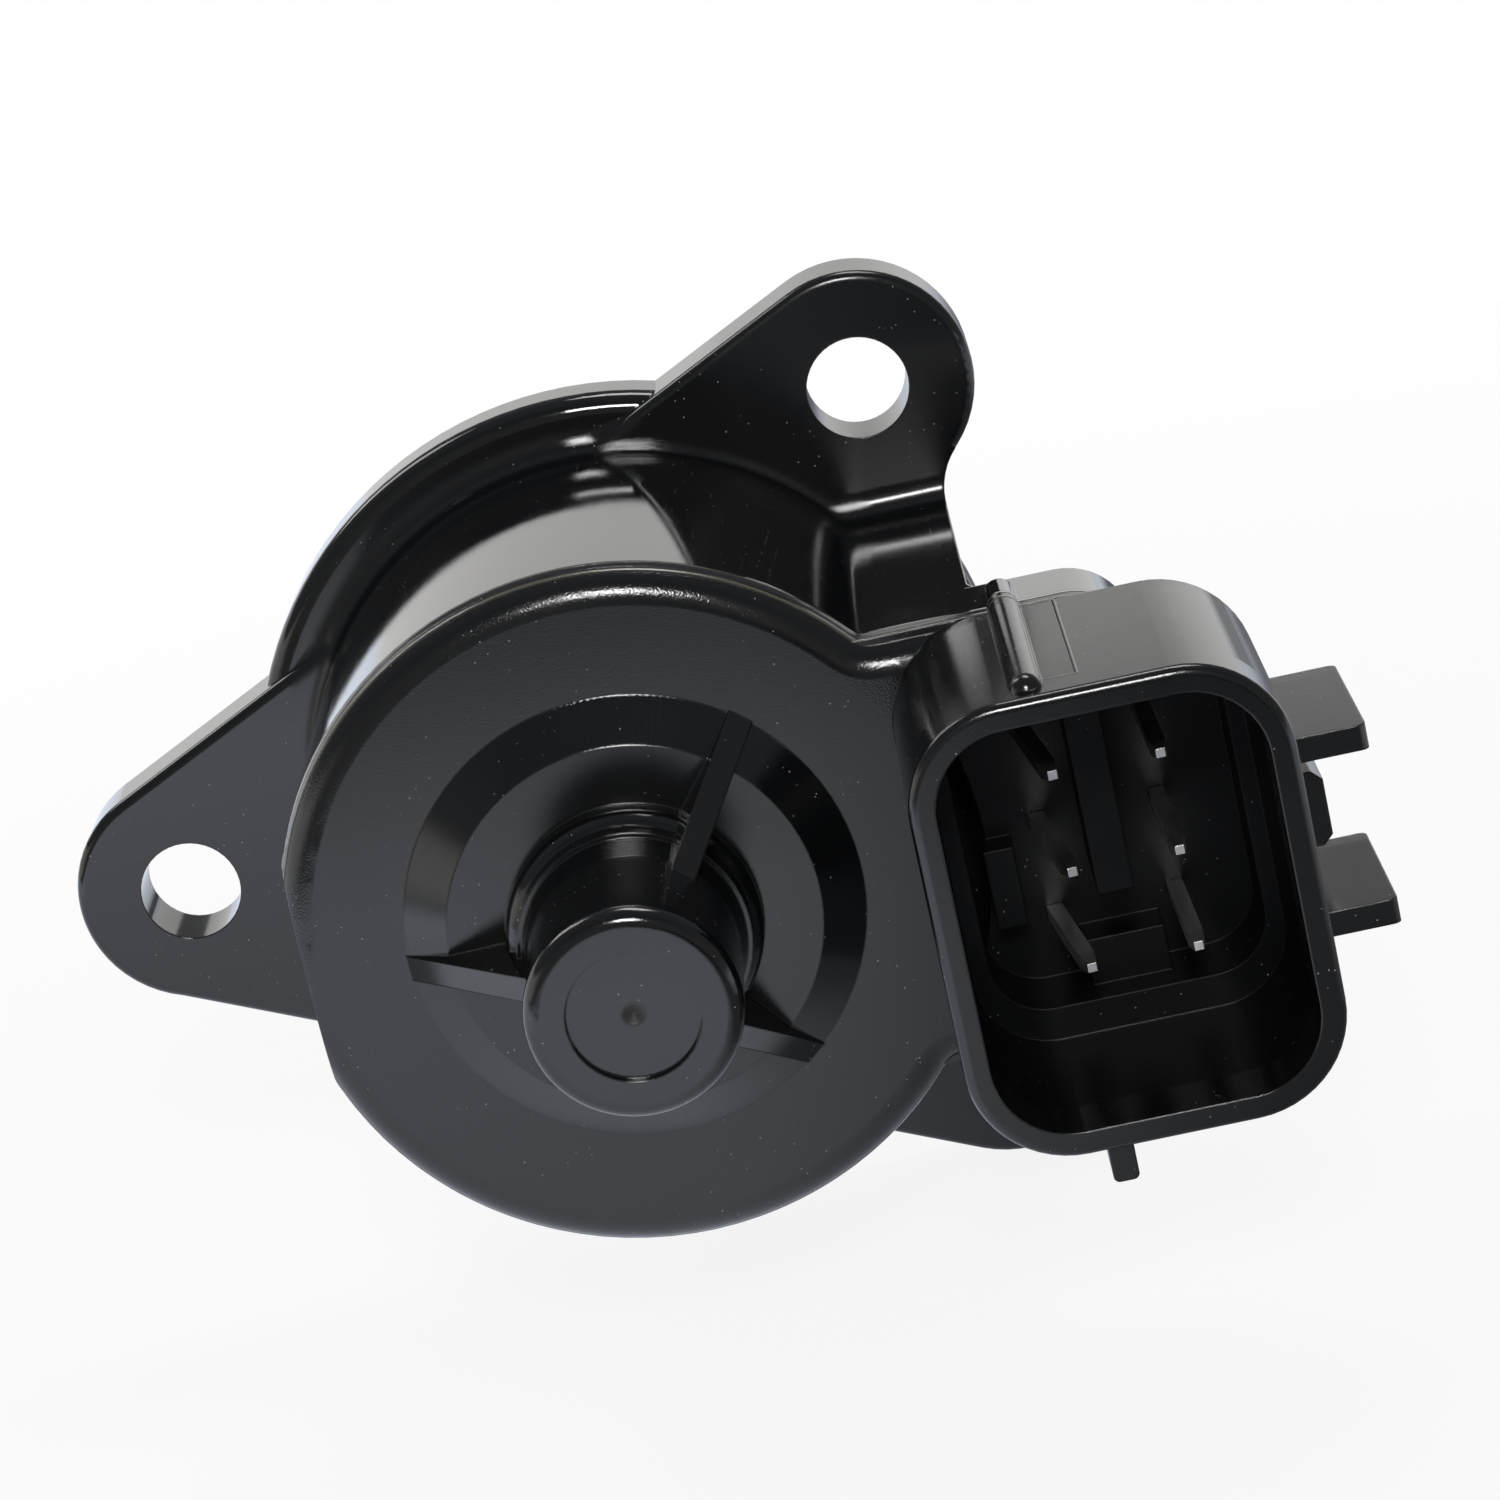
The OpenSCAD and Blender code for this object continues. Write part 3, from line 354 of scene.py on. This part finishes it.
def black_nylon(name):
    """Black nylon: polished ahead of the parting lines, satin behind them, with pale dust and a
    painted highlight along the parting lines.
    """
    s = Shader(bpy.data.materials.new(name))
    place = s.place()
    x, y, z = (s.axis(place, axis) for axis in "XYZ")
    zone = nylon_zones(s, place, x, y, z)
    cloudy = s.noise(place, CLOUDS, 4.0)
    grain = s.noise(place, GRAIN, 2.0)
    patches = s.mask(s.noise(place, SPECK_PATCHES, 2.0), 0.5, 0.58)
    dust = s.times(s.specks(place, SPECKS, SPECK_SIZE), patches)
    # Mask of the parting lines: it raises their real ridge and also carries their painted
    # highlight.
    seam_and_highlight = s.largest(*(s.fade(s.off(y, plane * MM), *SEAM_OFF) for plane in PARTING_PLANES))
    seam_and_highlight = s.either(zone["socket"], seam_and_highlight, 0.0)

    color = s.mix(cloudy, NYLON_DARK, NYLON_LIGHT)
    color = s.mix(s.times(dust, DUST_COVER), color, NYLON_DUST)
    color = s.mix(zone["gate"], color, NYLON_GATE)
    # Painted highlight: the parting lines are lightened to olive, as where their ridge catches
    # the front lamp.
    color = s.mix(s.times(seam_and_highlight, SEAM_HIGHLIGHT_COVER), color, NYLON_SEAM_HIGHLIGHT)

    polished = s.span(cloudy, 0.3, 0.7, *POLISHED_ROUGH)
    matt = s.span(cloudy, 0.3, 0.7, *SATIN_ROUGH)
    matt = s.math("ADD", matt, s.span(grain, 0.35, 0.65, *GRAIN_ROUGH))
    rough = s.either(zone["satin"], polished, matt)
    rough = s.times(rough, s.either(zone["nose"], 1.0, NOSE_SHARE))
    rough = s.either(zone["gate"], rough, GATE_ROUGH)
    rough = s.either(zone["socket"], rough, SOCKET_ROUGH)
    rough = s.either(zone["arm_root"], rough, ARM_ROOT_ROUGH)
    rough = s.math("ADD", rough, s.times(dust, DUST_ROUGH))

    relief = s.largest(seam_and_highlight, s.times(nylon_witness(s, x, y, z), WITNESS_SHARE))
    grain_share = s.either(zone["satin"], POLISHED_GRAIN, SATIN_GRAIN)
    normal = s.soft_edge(s.either(zone["flange_root"], EDGE_RADIUS * MM, ROOT_RADIUS * MM))
    normal = s.bump(grain, GRAIN_HEIGHT * MM, grain_share, normal)
    normal = s.bump(s.noise(place, SPARKLE, 1.0), SPARKLE_HEIGHT * MM, zone["rim"], normal)
    normal = s.bump(relief, SEAM_HEIGHT * MM, 1.0, normal)
    normal = s.bump(zone["drag"], DRAG_HEIGHT * MM, 1.0, normal)
    # The arm's top is shaded as if it leaned to the flange: the bolt hole's image stays off it.
    normal = s.bump(s.times(y, -1.0), ARM_LEAN, zone["arm_top"], normal)
    gloss = s.either(zone["socket"], OPEN_GLOSS, SOCKET_GLOSS)
    return s.finish(color, rough, normal, IOR=NYLON_IOR, Specular_IOR_Level=gloss)


def metal(name, color, low, high, streak=(1.0, 1.0, 1.0), edge=0.08):
    """Bare metal whose gloss varies along its machining or drawing marks."""
    s = Shader(bpy.data.materials.new(name))
    place = s.stretch(s.place(), streak)
    marks = s.noise(place, 900.0, 4.0)
    fine = s.noise(place, 6000.0, 2.0)
    tint = s.mix(marks, darker(color, 0.82), color)
    normal = s.bump(fine, 0.004 * MM, 0.6, s.soft_edge(edge * MM))
    return s.finish(tint, s.span(marks, 0.3, 0.7, low, high), normal, Metallic=1.0)


def plastic(name, color, low, high):
    """Unpainted moulded plastic, ferrite or rubber in a pale or dark tone."""
    s = Shader(bpy.data.materials.new(name))
    place = s.place()
    cloudy = s.noise(place, 300.0, 4.0)
    grain = s.noise(place, 4200.0, 2.0)
    tint = s.mix(cloudy, darker(color, 0.85), color)
    normal = s.bump(grain, 0.01 * MM, 0.6, s.soft_edge(0.08 * MM))
    return s.finish(tint, s.span(cloudy, 0.3, 0.7, low, high), normal)


def copper_wire(name):
    """Enamelled copper wire, its turns drawn as fine ridges round the coil."""
    s = Shader(bpy.data.materials.new(name))
    place = s.place()
    turns = s.add("ShaderNodeTexWave", wave_type="BANDS", bands_direction="Y")
    s.join(place, turns.inputs["Vector"])
    turns.inputs["Scale"].default_value = 1200.0
    turns.inputs["Distortion"].default_value = 0.4
    tint = s.mix(s.noise(place, 500.0), (0.42, 0.12, 0.04, 1.0), (0.62, 0.2, 0.07, 1.0))
    return s.finish(tint, 0.28, s.bump(turns.outputs["Fac"], 0.08 * MM), Metallic=1.0)


# By material slot: the maker, then a colour and the lowest and highest roughness,
# and for some metals how far their marks are drawn out on each axis and the edge's radius in mm
LOOKS = {
    "black_nylon": (black_nylon,),
    "tinned_pin": (metal, (0.95, 0.94, 0.91, 1.0), 0.3, 0.42, (1.0, 0.2, 1.0), 0.05),
    "pole_steel": (metal, (0.5, 0.51, 0.53, 1.0), 0.3, 0.45),
    "cream_plastic": (plastic, (0.68, 0.64, 0.5, 1.0), 0.35, 0.5),
    "copper_wire": (copper_wire,),
    "ferrite": (plastic, (0.03, 0.03, 0.035, 1.0), 0.4, 0.55),
    "nut_plastic": (plastic, (0.6, 0.56, 0.44, 1.0), 0.35, 0.5),
    "bearing_steel": (metal, (0.72, 0.73, 0.75, 1.0), 0.08, 0.16),
    "cage_brass": (metal, (0.6, 0.44, 0.16, 1.0), 0.22, 0.35),
    "bush_bronze": (metal, (0.5, 0.3, 0.11, 1.0), 0.4, 0.55),
    "spring_steel": (metal, (0.5, 0.51, 0.52, 1.0), 0.18, 0.3),
    "cover_metal": (metal, (0.6, 0.6, 0.6, 1.0), 0.28, 0.42),
    "seal_rubber": (plastic, (0.012, 0.012, 0.012, 1.0), 0.45, 0.6),
    "screw_steel": (metal, (0.5, 0.51, 0.52, 1.0), 0.18, 0.32, (1.0, 0.1, 1.0)),
    "pintle_metal": (metal, (0.7, 0.69, 0.67, 1.0), 0.22, 0.36, (0.3, 4.0, 0.3)),
}
MATERIALS = {name: maker(name, *values) for name, (maker, *values) in LOOKS.items()}


def dress(thing, slot):
    """Gives an object one material in all its slots."""
    if not thing.material_slots:
        thing.data.materials.append(MATERIALS[slot])
    for place in thing.material_slots:
        place.material = MATERIALS[slot]


for part in frame["record"]["subparts"]:
    dress(frame["nodes"][part["node"]], part["material_slot"])


def mesh_piece(name, points, faces, slot):
    """New smooth mesh object in the shared frame."""
    data = bpy.data.meshes.new(name)
    data.from_pydata(points, [], faces)
    data.update()
    data.polygons.foreach_set("use_smooth", [True] * len(data.polygons))
    thing = bpy.data.objects.new(name, data)
    scene.collection.objects.link(thing)
    dress(thing, slot)
    return thing


def tube(path, frames, radius, sides):
    """Points and faces of a closed tube along a path, with two cross directions at each point."""
    points = []
    for centre, (u, v) in zip(path, frames):
        for side in range(sides):
            angle = 2 * math.pi * side / sides
            points.append(centre + radius * (math.cos(angle) * u + math.sin(angle) * v))
    faces = []
    for ring in range(len(path) - 1):
        low, high = ring * sides, (ring + 1) * sides
        for side in range(sides):
            following = (side + 1) % sides
            faces.append((low + side, low + following, high + following, high + side))
    last = (len(path) - 1) * sides
    faces.append(tuple(range(sides - 1, -1, -1)))
    faces.append(tuple(last + side for side in range(sides)))
    return points, faces


SPRING_WIRE = 0.4 * MM
SPRING_TURNS = 5
SPRING_STEPS = 48
SPRING_SIDES = 14


def coil_spring():
    """Round wire spring that stretches between the cover and the pintle."""
    low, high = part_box("pintle_spring")
    mean = high.x - SPRING_WIRE
    rise = high.y - low.y - 2 * SPRING_WIRE
    path, frames = [], []
    for step in range(SPRING_TURNS * SPRING_STEPS + 1):
        share = step / (SPRING_TURNS * SPRING_STEPS)
        angle = 2 * math.pi * SPRING_TURNS * share
        outward = Vector((math.cos(angle), 0, math.sin(angle)))
        path.append(mean * outward + Vector((0, low.y + SPRING_WIRE + share * rise, 0)))
        frames.append((outward, Vector((0, 1, 0))))
    points, faces = tube(path, frames, SPRING_WIRE, SPRING_SIDES)
    spring = mesh_piece("coil_spring", points, faces, "spring_steel")
    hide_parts("pintle_spring")
    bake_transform(spring)


coil_spring()

# The room's glow above the horizon, and above in front of the object
ROOM = (0.2, 0.206, 0.216, 1)
ROOM_AHEAD = (0.14, 0.148, 0.16, 1)
# The horizon's glow in front, and at the backdrop behind on the left
HORIZON = grey(0.24)
BACKDROP = (1.12, 1.11, 1.08, 1)
TO_BACKDROP = (-0.64, 0.77, 0)
# Where each part of the surroundings is nothing and where it is full, as shares of a direction
BAND_UP = (0.29, 0.276)
BACKDROP_SPREAD = (-0.1, 0.3)
AHEAD_BACK, AHEAD_UP = (-0.3, -0.5), (0.5, 0.62)


def studio_world():
    """Dim room over a pale horizon, whitest behind and to the left of the object."""
    world = bpy.data.worlds.new("world")
    s = Shader(world, "ShaderNodeOutputWorld")
    direction = s.add("ShaderNodeTexCoord").outputs["Generated"]
    up, back = s.axis(direction, "Z"), s.axis(direction, "Y")
    behind = s.mask(s.along(direction, TO_BACKDROP), *BACKDROP_SPREAD)
    ahead = s.times(s.mask(back, *AHEAD_BACK), s.mask(up, *AHEAD_UP))
    dim = s.mix(ahead, ROOM, ROOM_AHEAD)
    band = s.mix(behind, HORIZON, BACKDROP)
    glow = s.add("ShaderNodeBackground")
    s.join(s.mix(s.mask(up, *BAND_UP), dim, band), glow.inputs["Color"])
    s.join(glow.outputs["Background"], s.out.inputs["Surface"])
    scene.world = world


# Lamp: azimuth and elevation in degrees, width and height in metres, radiance
LAMPS = {
    "softbox_top": (32, 67, 0.22, 0.14, 7.0),
    "softbox_left": (-50, 45, 0.14, 0.28, 4.0),
    "softbox_front": (177, 30, 0.1, 0.085, 48.0),
}
LAMP_DISTANCE = 0.55


def softbox(name, azimuth, elevation, width, height, radiance):
    """Rectangular lamp that faces the object. Azimuth 0 is +Y and 90 is +X."""
    data = bpy.data.lights.new(name, "AREA")
    data.shape = "RECTANGLE"
    data.size, data.size_y = width, height
    data.energy = radiance * width * height * math.pi
    lamp = bpy.data.objects.new(name, data)
    scene.collection.objects.link(lamp)
    a, e = math.radians(azimuth), math.radians(elevation)
    away = Vector((math.sin(a) * math.cos(e), math.cos(a) * math.cos(e), math.sin(e)))
    lamp.location = away * LAMP_DISTANCE
    lamp.rotation_euler = away.to_track_quat("Z", "Y").to_euler()


studio_world()
for lamp_name, settings in LAMPS.items():
    softbox(lamp_name, *settings)

FLOOR_HALF = 3.0
FLOOR_GAP = 0.2 * MM
FLOOR_COLOUR = (0.9, 0.9, 0.9, 1)
FLOOR_IN_GLOSS = (0.94, 1.0, 1.12, 1)
# Near the object the floor keeps more of its own shading, which carries the shadow.
# Each row: from and to in metres, then the factor at each.
FLOOR_WHITENESS = (0.06, 0.2, 0.88, 1.0)
# In reflections the floor is bright at the left and in front, and dark past the object's right.
FRONT_FAR, FRONT_NEAR = (-0.22, -0.13, 0.2, 1.2), (-0.12, -0.05, 1.0, 0.78)
RIGHT_NEAR, RIGHT_FAR = (0.0, 0.03, 1.0, 0.15), (0.07, 0.13, 0.0, 0.9)
LEFT = (-0.16, -0.05, 1.35, 1.15)


def floor():
    """Pale floor under the lowest point: white to the eye, uneven in reflections."""
    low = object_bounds()[0]
    z = low[2] - FLOOR_GAP
    sides = ((-1, -1), (1, -1), (1, 1), (-1, 1))
    data = bpy.data.meshes.new("floor")
    data.from_pydata([(x * FLOOR_HALF, y * FLOOR_HALF, z) for x, y in sides], [], [(0, 1, 2, 3)])
    plane = bpy.data.objects.new("floor", data)
    scene.collection.objects.link(plane)

    s = Shader(bpy.data.materials.new("floor"))
    ray = s.add("ShaderNodeLightPath")
    eye, glossy, through = (ray.outputs[f"Is {kind} Ray"]
                            for kind in ("Camera", "Glossy", "Transmission"))
    place = s.place()
    x, y = s.axis(place, "X"), s.axis(place, "Y")
    front = s.times(s.span(y, *FRONT_FAR), s.span(y, *FRONT_NEAR))
    right = s.largest(s.span(x, *RIGHT_NEAR), s.span(x, *RIGHT_FAR))
    lit = s.times(front, right, s.span(x, *LEFT))
    pale = s.add("ShaderNodeBsdfDiffuse")
    pale.inputs["Color"].default_value = FLOOR_COLOUR
    white = s.add("ShaderNodeEmission")
    s.join(s.mix(eye, FLOOR_IN_GLOSS, grey(1.0)), white.inputs["Color"])
    s.join(s.either(eye, lit, 1.0), white.inputs["Strength"])
    blend = s.add("ShaderNodeMixShader")
    whiteness = s.span(s.length(place), *FLOOR_WHITENESS)
    s.join(s.times(s.largest(eye, glossy, through), whiteness), blend.inputs["Fac"])
    s.join(pale.outputs["BSDF"], blend.inputs[1])
    s.join(white.outputs["Emission"], blend.inputs[2])
    s.join(blend.outputs["Shader"], s.out.inputs["Surface"])
    data.materials.append(s.holder)
    plane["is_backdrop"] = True


floor()
